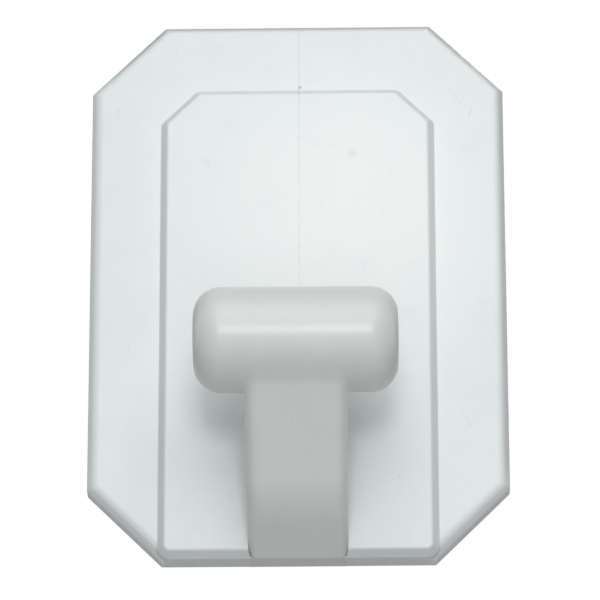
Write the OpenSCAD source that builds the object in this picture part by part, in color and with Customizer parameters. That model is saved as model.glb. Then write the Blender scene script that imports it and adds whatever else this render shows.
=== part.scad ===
// Adhesive wall hook: a J-shaped hook with a barrel tip, held between a clipped-corner cover plate
// and a back plate, on a double-sided foam pad whose release liner is split in two halves.
// Frame: the origin is the middle of the face that meets the wall, +Z is up, the hook points to -Y.

/* [Cover plate] */
// Width of the cover plate
plate_w = 56; // [50:1:70]
// Height of the cover plate
plate_h = 77.5; // [72:0.5:95]
// Leg of the 45 degree cut at each corner of the plate
corner_clip = 9.9; // [6:0.1:13]
// Radius on the front edges of the plate
edge_r = 1.2; // [0.4:0.1:1.8]
// Width of the rim around the back plate
rim_w = 2; // [1.5:0.1:3]

/* [Raised panel] */
// Width of the raised panel
panel_w = 36.9; // [33:0.1:42]
// Distance from the top edge of the plate down to the panel
panel_drop = 10.1; // [6:0.1:14]
// Height of the panel above the margin around it
panel_rise = 1.2; // [0.8:0.1:1.8]
// Leg of the 45 degree cut at the upper corners of the panel
panel_clip = 4.9; // [2:0.1:7]
// How far the lower corners of the panel stay inside the plate's cut corners
panel_foot_inset = 0.4; // [0.2:0.1:1.5]
// How far the bevel around the panel reaches in
panel_bevel = 0.85; // [0.4:0.05:1.5]
// Wall of the panel in front of the tongue
panel_wall = 1.3; // [1:0.1:2.5]
// Width of the ribs left between the hollows behind the panel
rib_w = 1.6; // [1:0.1:2.4]

/* [Hook] */
// Width of the arm
arm_w = 13.3; // [10:0.1:16]
// Thickness of the arm
arm_t = 4.6; // [3.6:0.1:6]
// Radius on the long edges of the arm
arm_r = 1.3; // [0.4:0.1:1.7]
// Angle by which the arm rises where it leaves the plate
root_rise = 24; // [15:1:30]
// Length of the straight stretch below the bend, on its outer face
root_run = 6; // [4:0.1:9]
// Outer radius of the bend
bend_r = 15; // [12:0.5:20]
// Angle by which the arm leans out from the wall
arm_lean = 37.5; // [25:0.5:45]
// Distance from the wall to the front of the barrel
hook_reach = 28.5; // [26:0.1:34]
// Diameter of the barrel
barrel_d = 13.8; // [12:0.1:18]
// Length of the barrel
barrel_l = 26.8; // [20:0.1:34]
// Radius on the ends of the barrel
barrel_end_r = 3.4; // [1:0.1:5]
// How far the barrel stands proud of the arm's outer face
barrel_proud = 0.75; // [0.2:0.05:1.5]

/* [Tongue] */
// Thickness of the tongue behind the panel
tongue_t = 2.2; // [1.8:0.1:3]
// Width of the tongue
tongue_w = 12.8; // [9:0.1:13]
// How far the foot of the tongue stays above the bottom edge of the plate
root_lift = 0.1; // [0.05:0.05:0.8]
// Height of the tongue
tongue_h = 44; // [38:1:52]
// Leg of the 45 degree cut at the upper corners of the tongue
tongue_clip = 2; // [0.5:0.1:4]

/* [Back plate] */
// Thickness of the back plate
base_t = 1.2; // [0.8:0.1:2]
// Diameter of the posts that carry the tongue
tongue_post_d = 5; // [3:0.1:7]
// Height of the lower tongue post above the bottom edge
tongue_post_z = 16; // [10:0.5:20]
// Distance between the tongue posts
tongue_post_pitch = 18; // [10:0.5:24]
// Diameter of the posts that hold the cover plate
cover_post_d = 3; // [2:0.1:4]
// Height of the posts that hold the cover plate
cover_post_h = 1.3; // [0.8:0.1:1.5]
// Distance between the cover posts, across the plate
cover_post_span_x = 46; // [44:0.5:47]
// Distance between the cover posts, up the plate
cover_post_span_z = 48; // [30:0.5:50]

/* [Adhesive pad] */
// Thickness of the foam
foam_t = 1; // [0.5:0.1:2]
// Thickness of each adhesive layer
glue_t = 0.15; // [0.05:0.01:0.3]
// Distance of the pad's edge from the plate's edge
pad_inset = 3; // [1:0.5:8]

/* [Release liner] */
// Thickness of the release liner
liner_t = 0.12; // [0.06:0.01:0.25]
// Width of the split between the two halves of the liner
liner_split = 0.4; // [0.2:0.1:1]

/* [Fit] */
// Clearance between pieces that slide together
fit_gap = 0.1; // [0.05:0.01:0.2]

/* [Hidden] */
$fn = 64;
// How far a cut runs past the face that it opens
overrun = 1;

// Distances from the wall, going outwards
wall_glue_d = liner_t;
foam_d = wall_glue_d + glue_t;
plate_glue_d = foam_d + foam_t;
back_d = plate_glue_d + glue_t;
base_front_d = back_d + base_t;
tongue_front_d = base_front_d + tongue_t;
panel_front_d = tongue_front_d + fit_gap + panel_wall;
margin_front_d = panel_front_d - panel_rise;

// Heights from the middle of the plate
bottom_z = -plate_h / 2;
panel_top_z = plate_h / 2 - panel_drop;
root_z = bottom_z + root_lift;
tongue_top_z = root_z + tongue_h;
plate_clip_d = (plate_w / 2 + plate_h / 2 - corner_clip) / sqrt(2);
panel_clip_d = (panel_w / 2 + panel_top_z - panel_clip) / sqrt(2);
tongue_post_zs = [for (i = [0, 1]) bottom_z + tongue_post_z + i * tongue_post_pitch];

// The arm's outer face leaves the front of the tongue at the bottom edge of the plate
bend_d = tongue_front_d + root_run * cos(root_rise) - bend_r * sin(root_rise);
bend_z = bottom_z + root_run * sin(root_rise) + bend_r * cos(root_rise);
bend_sweep = 90 - arm_lean - root_rise;
// The arm starts inside the tongue, clear of the back plate
root_back = (tongue_t - arm_t * sin(root_rise) - fit_gap) / cos(root_rise);
// The lower stretch is a hair slimmer all round, so that it can run on into the bend
root_slim = 0.02;
root_into = 0.5;
barrel_axis_r = bend_r - barrel_d / 2 + barrel_proud;
// The straight stretch is as long as the reach of the hook asks for
barrel_axis_d = hook_reach - barrel_d / 2;
arm_run = (barrel_axis_d - bend_d - barrel_axis_r * cos(arm_lean)) / sin(arm_lean);
slot_w = arm_w + 2 * fit_gap;
channel_w = tongue_w + 2 * fit_gap;
// The slot's top clears the arm's inner face where it passes the front of the panel
slot_rise = (panel_front_d - tongue_front_d) * tan(root_rise) + arm_t / cos(root_rise);
slot_top_z = bottom_z + slot_rise + fit_gap;

// Points of an upright rectangle with its four corners cut off at 45 degrees
function clipped(w, h, c) = [
    [-w / 2 + c, -h / 2], [w / 2 - c, -h / 2], [w / 2, -h / 2 + c], [w / 2, h / 2 - c],
    [w / 2 - c, h / 2], [-w / 2 + c, h / 2], [-w / 2, h / 2 - c], [-w / 2, -h / 2 + c]
];

// Outline of the cover plate, drawn in by the same distance all round
module plate_outline(inset) {
    clip = corner_clip - inset * (2 - sqrt(2));
    polygon(clipped(plate_w - 2 * inset, plate_h - 2 * inset, clip));
}

// Stands a front-view outline upright between two distances from the wall
module slab(from_d, to_d) {
    translate([0, -from_d, 0])
        rotate([90, 0, 0])
            linear_extrude(to_d - from_d)
                children();
}

// Turns a side view, drawn as distance from the wall and height, into the part's frame
module side_view() {
    rotate([90, 0, -90])
        children();
}

// Rectangle with round corners, centred
module round_rect(w, h, r) {
    square([w - 2 * r, h], center = true);
    square([w, h - 2 * r], center = true);
    for (x = [-1, 1], y = [-1, 1])
        translate([x * (w / 2 - r), y * (h / 2 - r)])
            circle(r);
}

// Stands a section, drawn as place across and distance from the wall, up as a long bar which bounds
// a plate in one direction of its front view. The direction is counted in eighths of a turn.
module long_bar(eighths) {
    rotate([0, -45 * eighths, 0])
        linear_extrude(2 * plate_h, center = true)
            children();
}

// Bar with two round front edges
module plate_bar(low, high, eighths) {
    long_bar(eighths) {
        translate([low, edge_r - margin_front_d])
            square([high - low, margin_front_d - edge_r - back_d]);
        translate([low + edge_r, -margin_front_d])
            square([high - low - 2 * edge_r, margin_front_d - back_d]);
        for (x = [low + edge_r, high - edge_r])
            translate([x, edge_r - margin_front_d])
                circle(edge_r);
    }
}

// Bar with two bevelled front edges, which rise from the margin to the front of the panel
module panel_bar(low, high, eighths) {
    long_bar(eighths)
        polygon([
            [low, -back_d], [low, -margin_front_d], [low + panel_bevel, -panel_front_d],
            [high - panel_bevel, -panel_front_d], [high, -margin_front_d], [high, -back_d]
        ]);
}

// Octagonal plate with round front edges, without its hollows
module plate_body() {
    intersection() {
        plate_bar(-plate_w / 2, plate_w / 2, 0);
        plate_bar(-plate_h / 2, plate_h / 2, 2);
        plate_bar(-plate_clip_d, plate_clip_d, 1);
        plate_bar(-plate_clip_d, plate_clip_d, 3);
    }
}

// Raised panel with cut upper corners, which runs down to the bottom edge of the plate
module panel_body() {
    intersection() {
        panel_bar(-panel_w / 2, panel_w / 2, 0);
        panel_bar(bottom_z, panel_top_z, 2);
        panel_bar(-plate_h, panel_clip_d, 1);
        panel_bar(-plate_h, panel_clip_d, 3);
        panel_bar(-plate_h, plate_clip_d - panel_foot_inset, 5);
        panel_bar(-plate_h, plate_clip_d - panel_foot_inset, 7);
    }
}

// Hollows behind the panel, on both sides of the tongue
module panel_hollows() {
    inner_x = channel_w / 2 + rib_w;
    outer_x = panel_w / 2 - panel_bevel - rib_w;
    low_z = bottom_z + rim_w + rib_w;
    high_z = panel_top_z - panel_clip - rib_w;
    slab(back_d, tongue_front_d + fit_gap)
        for (side = [0, 1])
            mirror([side, 0])
                translate([inner_x, low_z])
                    square([outer_x - inner_x, high_z - low_z]);
}

// Places of the posts that hold the cover plate
module cover_post_places() {
    for (x = [-1, 1], z = [-1, 1])
        translate([x * cover_post_span_x / 2, z * cover_post_span_z / 2])
            children();
}

module front_plate() {
    color("whitesmoke")
        difference() {
            union() {
                plate_body();
                panel_body();
            }
            // Seat of the back plate
            slab(back_d - overrun, base_front_d + fit_gap)
                plate_outline(rim_w);
            // Channel of the tongue, open at the bottom edge
            slab(back_d - overrun, tongue_front_d + fit_gap)
                translate([-channel_w / 2, bottom_z - overrun])
                    square([channel_w, tongue_top_z + fit_gap - bottom_z + overrun]);
            // Slot where the arm leaves the front of the panel
            slab(base_front_d, panel_front_d + overrun)
                translate([-slot_w / 2, bottom_z - overrun])
                    square([slot_w, slot_top_z - bottom_z + overrun]);
            panel_hollows();
            // Blind sockets of the cover posts
            slab(back_d, base_front_d + cover_post_h + fit_gap)
                cover_post_places()
                    circle(d = cover_post_d + 2 * fit_gap);
        }
}

// Flat tongue with cut upper corners and the holes of its posts
module tongue() {
    slab(base_front_d, tongue_front_d)
        difference() {
            polygon([
                [-tongue_w / 2, root_z], [tongue_w / 2, root_z],
                [tongue_w / 2, tongue_top_z - tongue_clip], [tongue_w / 2 - tongue_clip, tongue_top_z],
                [tongue_clip - tongue_w / 2, tongue_top_z], [-tongue_w / 2, tongue_top_z - tongue_clip]
            ]);
            for (z = tongue_post_zs)
                translate([0, z])
                    circle(d = tongue_post_d + 2 * fit_gap);
        }
    // Foot that fills the gap in the rim of the cover plate
    slab(back_d, tongue_front_d)
        translate([-tongue_w / 2, root_z])
            square([tongue_w, rim_w - root_lift]);
}

// Cross section of the arm, at its distance from the centre of the bend
module arm_section(slim = 0) {
    translate([bend_r - arm_t / 2, 0])
        round_rect(arm_t - 2 * slim, arm_w - 2 * slim, arm_r - slim);
}

// Places the arm and the barrel, which are drawn about the centre of the bend
module bend_place() {
    translate([bend_d, bend_z, 0])
        rotate([0, 0, -arm_lean])
            children();
}

// Bend of the arm and the straight stretches at both of its ends. The lower stretch starts inside the
// tongue and the upper one ends inside the barrel.
module arm() {
    rotate([0, 0, -bend_sweep])
        rotate([90, 0, 0])
            translate([0, 0, -root_into])
                linear_extrude(root_into + root_run + root_back)
                    arm_section(root_slim);
    rotate_extrude(angle = bend_sweep, start = -bend_sweep)
        arm_section();
    rotate([-90, 0, 0])
        linear_extrude(arm_run)
            arm_section();
}

// Barrel with round ends, about its own axis
module barrel() {
    rotate_extrude()
        intersection() {
            round_rect(barrel_d, barrel_l, barrel_end_r);
            translate([0, -barrel_l / 2])
                square([barrel_d / 2, barrel_l]);
        }
}

module hook() {
    color("gainsboro") {
        tongue();
        side_view() {
            // The foot of the arm is cut level with the bottom edge of the plate
            difference() {
                bend_place()
                    arm();
                translate([0, bottom_z - bend_r, -arm_w])
                    cube([bend_r, bend_r, 2 * arm_w]);
            }
            bend_place()
                translate([barrel_axis_r, arm_run, 0])
                    barrel();
        }
    }
}

module back_plate() {
    color("ghostwhite") {
        slab(back_d, base_front_d)
            plate_outline(rim_w + fit_gap);
        slab(back_d, tongue_front_d)
            for (z = tongue_post_zs)
                translate([0, z])
                    circle(d = tongue_post_d);
        slab(back_d, base_front_d + cover_post_h)
            cover_post_places()
                circle(d = cover_post_d);
    }
}

module plate_adhesive() {
    color("lightyellow")
        slab(plate_glue_d, back_d)
            plate_outline(pad_inset);
}

module foam_pad() {
    color("white")
        slab(foam_d, plate_glue_d)
            plate_outline(pad_inset);
}

module wall_adhesive() {
    color("lightyellow")
        slab(wall_glue_d, foam_d)
            plate_outline(pad_inset);
}

// Half of the release liner, above the split when side is 1 and below it when side is -1
module liner_half(side) {
    color("moccasin")
        slab(0, liner_t)
            intersection() {
                plate_outline(pad_inset);
                translate([0, side * (plate_h + liner_split) / 2])
                    square([plate_w, plate_h], center = true);
            }
}

module liner_upper() {
    liner_half(1);
}

module liner_lower() {
    liner_half(-1);
}

front_plate();
hook();
back_plate();
plate_adhesive();
foam_pad();
wall_adhesive();
liner_upper();
liner_lower();
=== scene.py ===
"""Looks of an adhesive wall hook: a J-shaped hook with a barrel tip on a clipped-corner plate.

The file is laid out as an add-on and run as a script. It dresses the packed part: the cover plate and
the hook get soft edges and moulded finishes, the pad gets its foam, films and paper liner.
Sizes are in metres in the settings, and in millimetres in the mesh functions and the materials.
"""

import math

import bmesh
import bpy
import numpy as np
from bpy.props import FloatProperty, FloatVectorProperty, PointerProperty
from mathutils import Matrix, Quaternion, Vector, noise
from mathutils.geometry import delaunay_2d_cdt


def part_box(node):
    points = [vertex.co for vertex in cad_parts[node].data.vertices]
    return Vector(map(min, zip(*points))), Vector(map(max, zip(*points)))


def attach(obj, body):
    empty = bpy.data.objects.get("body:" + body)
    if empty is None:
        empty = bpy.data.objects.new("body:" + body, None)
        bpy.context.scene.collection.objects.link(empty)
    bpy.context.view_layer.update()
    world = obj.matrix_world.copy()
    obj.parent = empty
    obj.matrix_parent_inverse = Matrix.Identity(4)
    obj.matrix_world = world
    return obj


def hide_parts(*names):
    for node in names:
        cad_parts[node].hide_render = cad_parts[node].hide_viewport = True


bl_info = {
    "name": "Adhesive wall hook",
    "version": (1, 0, 0),
    "blender": (4, 5, 0),
    "location": "View3D > Sidebar > Wall Hook",
    "description": "Builds the looks of an adhesive wall hook around its packed frame",
    "category": "Object",
}

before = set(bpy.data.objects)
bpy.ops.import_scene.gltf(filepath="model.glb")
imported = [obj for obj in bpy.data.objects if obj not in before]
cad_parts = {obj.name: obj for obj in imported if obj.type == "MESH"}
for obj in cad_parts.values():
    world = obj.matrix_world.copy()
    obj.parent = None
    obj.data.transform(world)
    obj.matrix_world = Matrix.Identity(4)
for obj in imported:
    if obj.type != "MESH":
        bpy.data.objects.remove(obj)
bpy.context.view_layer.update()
PLATE_LOW, PLATE_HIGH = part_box("front_plate")
BACK_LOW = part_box("back_plate")[0]
HOOK_LOW, HOOK_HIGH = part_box("hook")
FOAM_LOW, FOAM_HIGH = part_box("foam_pad")
WALL_FILM_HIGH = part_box("wall_adhesive")[1]
MM = 0.001
WHITE = (1.0, 1.0, 1.0)


def length(name, description, default):
    """A length setting, in metres."""
    return FloatProperty(
        name=name, description=description, default=default, min=0.0, precision=5, unit="LENGTH"
    )


def power(name, description, default):
    """A light power setting, in watts."""
    return FloatProperty(name=name, description=description, default=default, min=0.0, unit="POWER")


def angle(name, description, degrees):
    """An angle setting."""
    return FloatProperty(name=name, description=description, default=math.radians(degrees), unit="ROTATION")


def number(name, description, default, unit="NONE"):
    """A setting that is a plain number."""
    return FloatProperty(name=name, description=description, default=default, unit=unit)


def colour(name, description, red, green, blue):
    """A colour setting."""
    return FloatVectorProperty(
        name=name, description=description, default=(red, green, blue, 1.0), size=4, min=0.0, max=1.0,
        subtype="COLOR",
    )


class CoverPlateSettings(bpy.types.PropertyGroup):
    """Sizes and colour of the cover plate."""

    width: length("Width", "Width of the plate", PLATE_HIGH.x - PLATE_LOW.x)
    height: length("Height", "Height of the plate", PLATE_HIGH.z - PLATE_LOW.z)
    back: length("Back", "Distance of the plate's back from the wall", -PLATE_HIGH.y)
    front: length("Front", "Distance of the panel's front from the wall", -PLATE_LOW.y)
    corner_cut: length("Corner cut", "Leg of the 45 degree cut at each corner", 0.0099)
    edge_run: length("Edge run", "Width of the flat bevel on the front edges", 0.00055)
    edge_slope: angle("Edge slope", "Slope of the bevel on the front edges", 52.0)
    edge_fillet: length("Edge fillet", "Radius between the bevel and the plate's face", 0.00135)
    edge_soft: length("Edge softness", "Width of the rounding at the foot of the bevel", 0.00014)
    corner_radius: length("Corner radius", "Radius on the upright corners", 0.0004)
    back_radius: length("Back radius", "Radius on the rear edges", 0.00025)
    rim: length("Rim", "Width of the rim around the back plate", 0.002)
    panel_width: length("Panel width", "Width of the raised panel", 0.0371)
    panel_drop: length("Panel drop", "Distance from the top edge down to the panel", 0.0101)
    panel_rise: length("Panel rise", "Height of the panel above the margin", 0.0012)
    panel_bevel: length("Panel bevel", "How far the bevel around the panel reaches in", 0.00085)
    panel_cut: length("Panel cut", "Leg of the 45 degree cut at the panel's upper corners", 0.0049)
    panel_foot: length("Panel foot", "How far the panel stays inside the lower corner cuts", 0.0004)
    panel_soft: length("Panel corner radius", "Radius on the panel's corners, seen from the front", 0.0016)
    foot_radius: length("Foot radius", "Radius of the fillet at the foot of the panel's bevel", 0.00025)
    crest_radius: length("Crest radius", "Radius at the top of the panel's bevel", 0.0006)
    # Strength of the painted shade on the edges and the panel's bevels
    painted_edge_shade: number("Painted edge shade", "How grey the edges and bevels are", 0.45)
    tint: colour("Colour", "Colour of the cover plate", 0.786, 0.822, 0.822)


class HookSettings(bpy.types.PropertyGroup):
    """Sizes and colour of the hook."""

    root: length("Root", "Distance of the tongue's front from the wall", 0.00482)
    tongue: length("Tongue thickness", "Thickness of the tongue behind the panel", 0.0022)
    tongue_width: length("Tongue width", "Width of the tongue", 0.0128)
    tongue_cut: length("Tongue cut", "Leg of the cut at the tongue's upper corners", 0.002)
    tongue_lift: length("Tongue lift", "How far the tongue's foot stays above the bottom edge", 0.00005)
    play: length("Play", "Clearance of the hook in the cover plate", 0.000012)
    post_hole: length("Post hole", "Diameter of the tongue's holes", 0.0052)
    post_height: length("Post height", "Height of the lower hole above the bottom edge", 0.016)
    post_pitch: length("Post pitch", "Distance between the tongue's holes", 0.018)
    root_width: length("Root width", "Width of the arm at the bottom edge", 0.0131)
    tip_width: length("Tip width", "Width of the arm at the barrel", 0.0135)
    thickness: length("Thickness", "Thickness of the arm", 0.0046)
    edge_radius: length("Edge radius", "Radius on the long edges of the arm", 0.0018)
    root_radius: length("Root radius", "Radius on the edges where the arm leaves the plate", 0.0005)
    foot: length("Foot", "Distance from the wall where the arm's outer face meets the bottom edge", 0.0051)
    root_rise: angle("Root rise", "Angle by which the arm rises where it leaves the plate", 25.1)
    root_run: length("Root run", "Length of the straight stretch below the bend", 0.00603)
    bend_radius: length("Bend radius", "Outer radius of the bend", 0.015)
    lean: angle("Lean", "Angle by which the arm leans out from the wall", 37.5)
    reach: length("Reach", "Distance from the wall to the front of the barrel", -HOOK_LOW.y)
    barrel: length("Barrel diameter", "Diameter of the barrel", 0.0138)
    barrel_length: length("Barrel length", "Length of the barrel", HOOK_HIGH.x - HOOK_LOW.x)
    barrel_round: length("Barrel end radius", "Radius on the ends of the barrel", 0.0034)
    barrel_dome: length("Barrel dome", "Height of the shallow domes on the barrel's ends", 0.0003)
    barrel_proud: length("Barrel proud", "How far the barrel stands proud of the arm's outer face", 0.00075)
    fillet: length("Fillet", "Reach of the blend between the arm and the barrel", 0.0007)
    cell: length("Cell", "Size of the mesh cells on the hook", 0.00032)
    tint: colour("Colour", "Colour of the hook", 0.701, 0.721, 0.709)


class PadSettings(bpy.types.PropertyGroup):
    """Sizes and colours of the back plate, the adhesive pad and its liner."""

    inset: length("Inset", "Distance of the pad's edge from the plate's edge", 0.003)
    corner_radius: length("Corner radius", "Radius on the pad's corners", 0.0004)
    foam_bow: length("Foam bow", "How far the cut edge of the foam is drawn in", 0.00012)
    foam_rough: length("Foam roughness", "Unevenness of the cut edge of the foam", 0.00006)
    film_rough: length("Film roughness", "Unevenness of the cut edge of the adhesive", 0.00003)
    back_tint: colour("Back colour", "Colour of the back plate", 0.74, 0.755, 0.74)
    foam_tint: colour("Foam colour", "Colour of the foam", 0.80, 0.80, 0.78)
    film_tint: colour("Adhesive colour", "Colour of the adhesive", 0.78, 0.73, 0.55)
    liner_tint: colour("Liner colour", "Colour of the release liner", 0.76, 0.66, 0.47)


class StageSettings(bpy.types.PropertyGroup):
    """Floor, light and camera."""

    floor_drop: length("Floor drop", "Distance of the floor below the part's middle", 0.9)
    key_power: power("Key power", "Power of the small key light", 3.55)
    key_lift: angle("Key lift", "Angle of the key light above the part", 1.0)
    key_turn: angle("Key turn", "Angle of the key light to the right of the part", 1.5)
    key_size: length("Key size", "Side of the key light", 0.32)
    top_power: power("Top power", "Power of the near soft light above", 1.08)
    top_lift: angle("Top lift", "Angle of the near soft light above the part", 34.0)
    top_turn: angle("Top turn", "Angle of the near soft light to the right of the part", 5.0)
    top_size: length("Top size", "Side of the near soft light", 0.42)
    top_distance: length("Top distance", "Distance of the near soft light from the part", 0.5)
    low_power: power("Low power", "Power of the fill light below", 1.35)
    low_lift: angle("Low lift", "Angle of the fill light above the part", -25.0)
    low_size: length("Low size", "Side of the fill light", 0.7)
    back_power: power("Back power", "Power of the fill light behind the part", 6.0)
    side_power: power("Side power", "Power of the fill light on each side", 1.2)
    light_distance: length("Light distance", "Distance of the lights from the part", 1.3)
    ambient: number("Ambient", "Brightness of the room around the part", 0.43)
    side_dim: number("Side dimming", "How much darker the room is to the sides", 0.65)
    floor_glow: number("Floor glow", "How much the floor shines into the camera", 0.75)
    camera_tilt: angle("Camera tilt", "Angle by which the camera looks up at the part", 22.155)
    camera_turn: angle("Camera turn", "Angle of the camera to the right of the part", 0.961)
    camera_roll: angle("Camera roll", "Turn of the camera about its own axis", -0.12)
    camera_distance: length("Camera distance", "Distance of the camera from the part", 0.65593)
    camera_lens: number("Focal length", "Focal length of the camera", 291.0, "CAMERA")


def mm(value):
    """A length of the settings in millimetres."""
    return value / MM


def link_object(name, data):
    """A new object in the scene."""
    piece = bpy.data.objects.new(name, data)
    bpy.context.scene.collection.objects.link(piece)
    return piece


def object_from_bmesh(name, work):
    """Turns a bmesh into an object, with its faces pointing outwards."""
    bmesh.ops.recalc_face_normals(work, faces=work.faces)
    mesh = bpy.data.meshes.new(name)
    work.to_mesh(mesh)
    work.free()
    return link_object(name, mesh)


def drop_object(piece):
    """Removes an object and its mesh."""
    mesh = piece.data
    bpy.data.objects.remove(piece)
    if mesh.users == 0:
        bpy.data.meshes.remove(mesh)


def bake_modifiers(piece):
    """Replaces an object's mesh by what its modifiers make of it."""
    bpy.context.view_layer.update()
    evaluated = piece.evaluated_get(bpy.context.evaluated_depsgraph_get())
    mesh = bpy.data.meshes.new_from_object(evaluated)
    piece.modifiers.clear()
    old = piece.data
    piece.data = mesh
    bpy.data.meshes.remove(old)


def combine(body, tool, operation):
    """Cuts a tool out of a body, or joins it on. The tool is used up."""
    modifier = body.modifiers.new("Combine", "BOOLEAN")
    modifier.operation = operation
    modifier.solver = "EXACT"
    modifier.object = tool
    bake_modifiers(body)
    drop_object(tool)
    if not body.data.polygons:
        raise RuntimeError(f"{body.name} is empty after {operation.lower()}")


def dress(piece, material):
    """Gives a piece one material."""
    piece.data.materials.clear()
    piece.data.materials.append(material)


def finish_piece(piece, material, body, node, sharp):
    """Brings a piece made in millimetres into the frame and hands it over."""
    piece.data.transform(Matrix.Scale(MM, 4))
    piece.data.shade_smooth()
    piece.data.set_sharp_from_angle(angle=math.radians(sharp))
    dress(piece, material)
    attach(piece, body)
    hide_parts(node)
    return piece


def loft(name, rings):
    """A closed body through rings of points, with plain ends."""
    work = bmesh.new()
    rings = [[work.verts.new(point) for point in ring] for ring in rings]
    work.faces.new(rings[0])
    work.faces.new(rings[-1])
    for first, second in zip(rings, rings[1:]):
        for i in range(len(first)):
            j = (i + 1) % len(first)
            work.faces.new((first[i], first[j], second[j], second[i]))
    return object_from_bmesh(name, work)


def prism(name, points, near, far):
    """A closed prism on a front-view outline, between two distances from the wall."""
    return loft(name, [[(x, -distance, z) for x, z in points] for distance in (near, far)])


def box_points(low_x, low_z, high_x, high_z):
    """Corners of an upright rectangle."""
    return [(low_x, low_z), (high_x, low_z), (high_x, high_z), (low_x, high_z)]


def disc_points(x, z, radius, count=48):
    """Points on a circle."""
    turns = [2 * math.pi * i / count for i in range(count)]
    return [(x + radius * math.cos(t), z + radius * math.sin(t)) for t in turns]


class SoftOutline:
    """A convex outline given by its sides, with round corners and exact distances to it."""

    def __init__(self, sides, radius):
        self.radius = radius
        sides = list(sides)
        while True:
            self.turns = [math.radians(a) for a, _ in sides]
            self.normals = np.array([(math.cos(t), math.sin(t)) for t in self.turns])
            self.offsets = np.array([c for _, c in sides]) - radius
            self.core = self.corners(0.0)
            spans = self.core - np.roll(self.core, 1, axis=0)
            along = spans[:, 1] * self.normals[:, 0] - spans[:, 0] * self.normals[:, 1]
            if along.min() > 0:
                break
            # The round corner swallows this side
            del sides[int(along.argmin())]

    def corners(self, shift):
        """Corners of the sides when each is moved out by a shift."""
        found = []
        for i in range(len(self.turns)):
            pair = [i, (i + 1) % len(self.turns)]
            found.append(np.linalg.solve(self.normals[pair], self.offsets[pair] + shift))
        return np.array(found)

    def loop(self, level, steps=6):
        """Points at one distance inside the outline, or outside it where the level is negative."""
        points = []
        count = len(self.turns)
        reach = self.radius - level
        if reach <= 0:
            return [tuple(c) for c in self.corners(reach)]
        for i in range(count):
            first = self.turns[i]
            last = self.turns[(i + 1) % count]
            if last < first:
                last += 2 * math.pi
            for k in range(steps + 1):
                turn = first + (last - first) * k / steps
                x, z = self.core[i]
                points.append((x + reach * math.cos(turn), z + reach * math.sin(turn)))
        return points

    def depth(self, points):
        """How far points lie inside the outline."""
        inner = (self.offsets[None, :] - points @ self.normals.T).min(axis=1)
        nearest = np.full(len(points), np.inf)
        for i in range(len(self.core)):
            a = self.core[i - 1]
            b = self.core[i]
            along = b - a
            share = np.clip(((points - a) @ along) / (along @ along), 0.0, 1.0)
            nearest = np.minimum(nearest, np.linalg.norm(points - a - share[:, None] * along, axis=1))
        return np.where(inner >= 0, self.radius + inner, self.radius - nearest)

    def inward(self, points):
        """Directions that lead straight into the outline."""
        moves = 0.01 * np.eye(2)
        slopes = [self.depth(points + move) - self.depth(points - move) for move in moves]
        size = np.maximum(np.hypot(*slopes), 1e-9)
        return np.stack(slopes, axis=1) / size[:, None]


def plate_sides(s, inset=0.0):
    """Sides of the plate's outline, as direction and distance from the middle."""
    wide = mm(s.width) / 2 - inset
    tall = mm(s.height) / 2 - inset
    cut = (mm(s.width) / 2 + mm(s.height) / 2 - mm(s.corner_cut)) / math.sqrt(2) - inset
    return [(0, wide), (45, cut), (90, tall), (135, cut), (180, wide), (225, cut), (270, tall), (315, cut)]


def panel_sides(s):
    """Sides of the raised panel, which runs down to the plate's bottom edge."""
    wide = mm(s.panel_width) / 2
    top = mm(s.height) / 2 - mm(s.panel_drop)
    bottom = mm(s.height) / 2
    cut = (wide + top - mm(s.panel_cut)) / math.sqrt(2)
    foot = plate_sides(s)[1][1] - mm(s.panel_foot)
    return [(0, wide), (45, cut), (90, top), (135, cut), (180, wide), (225, foot), (270, bottom), (315, foot)]


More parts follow.
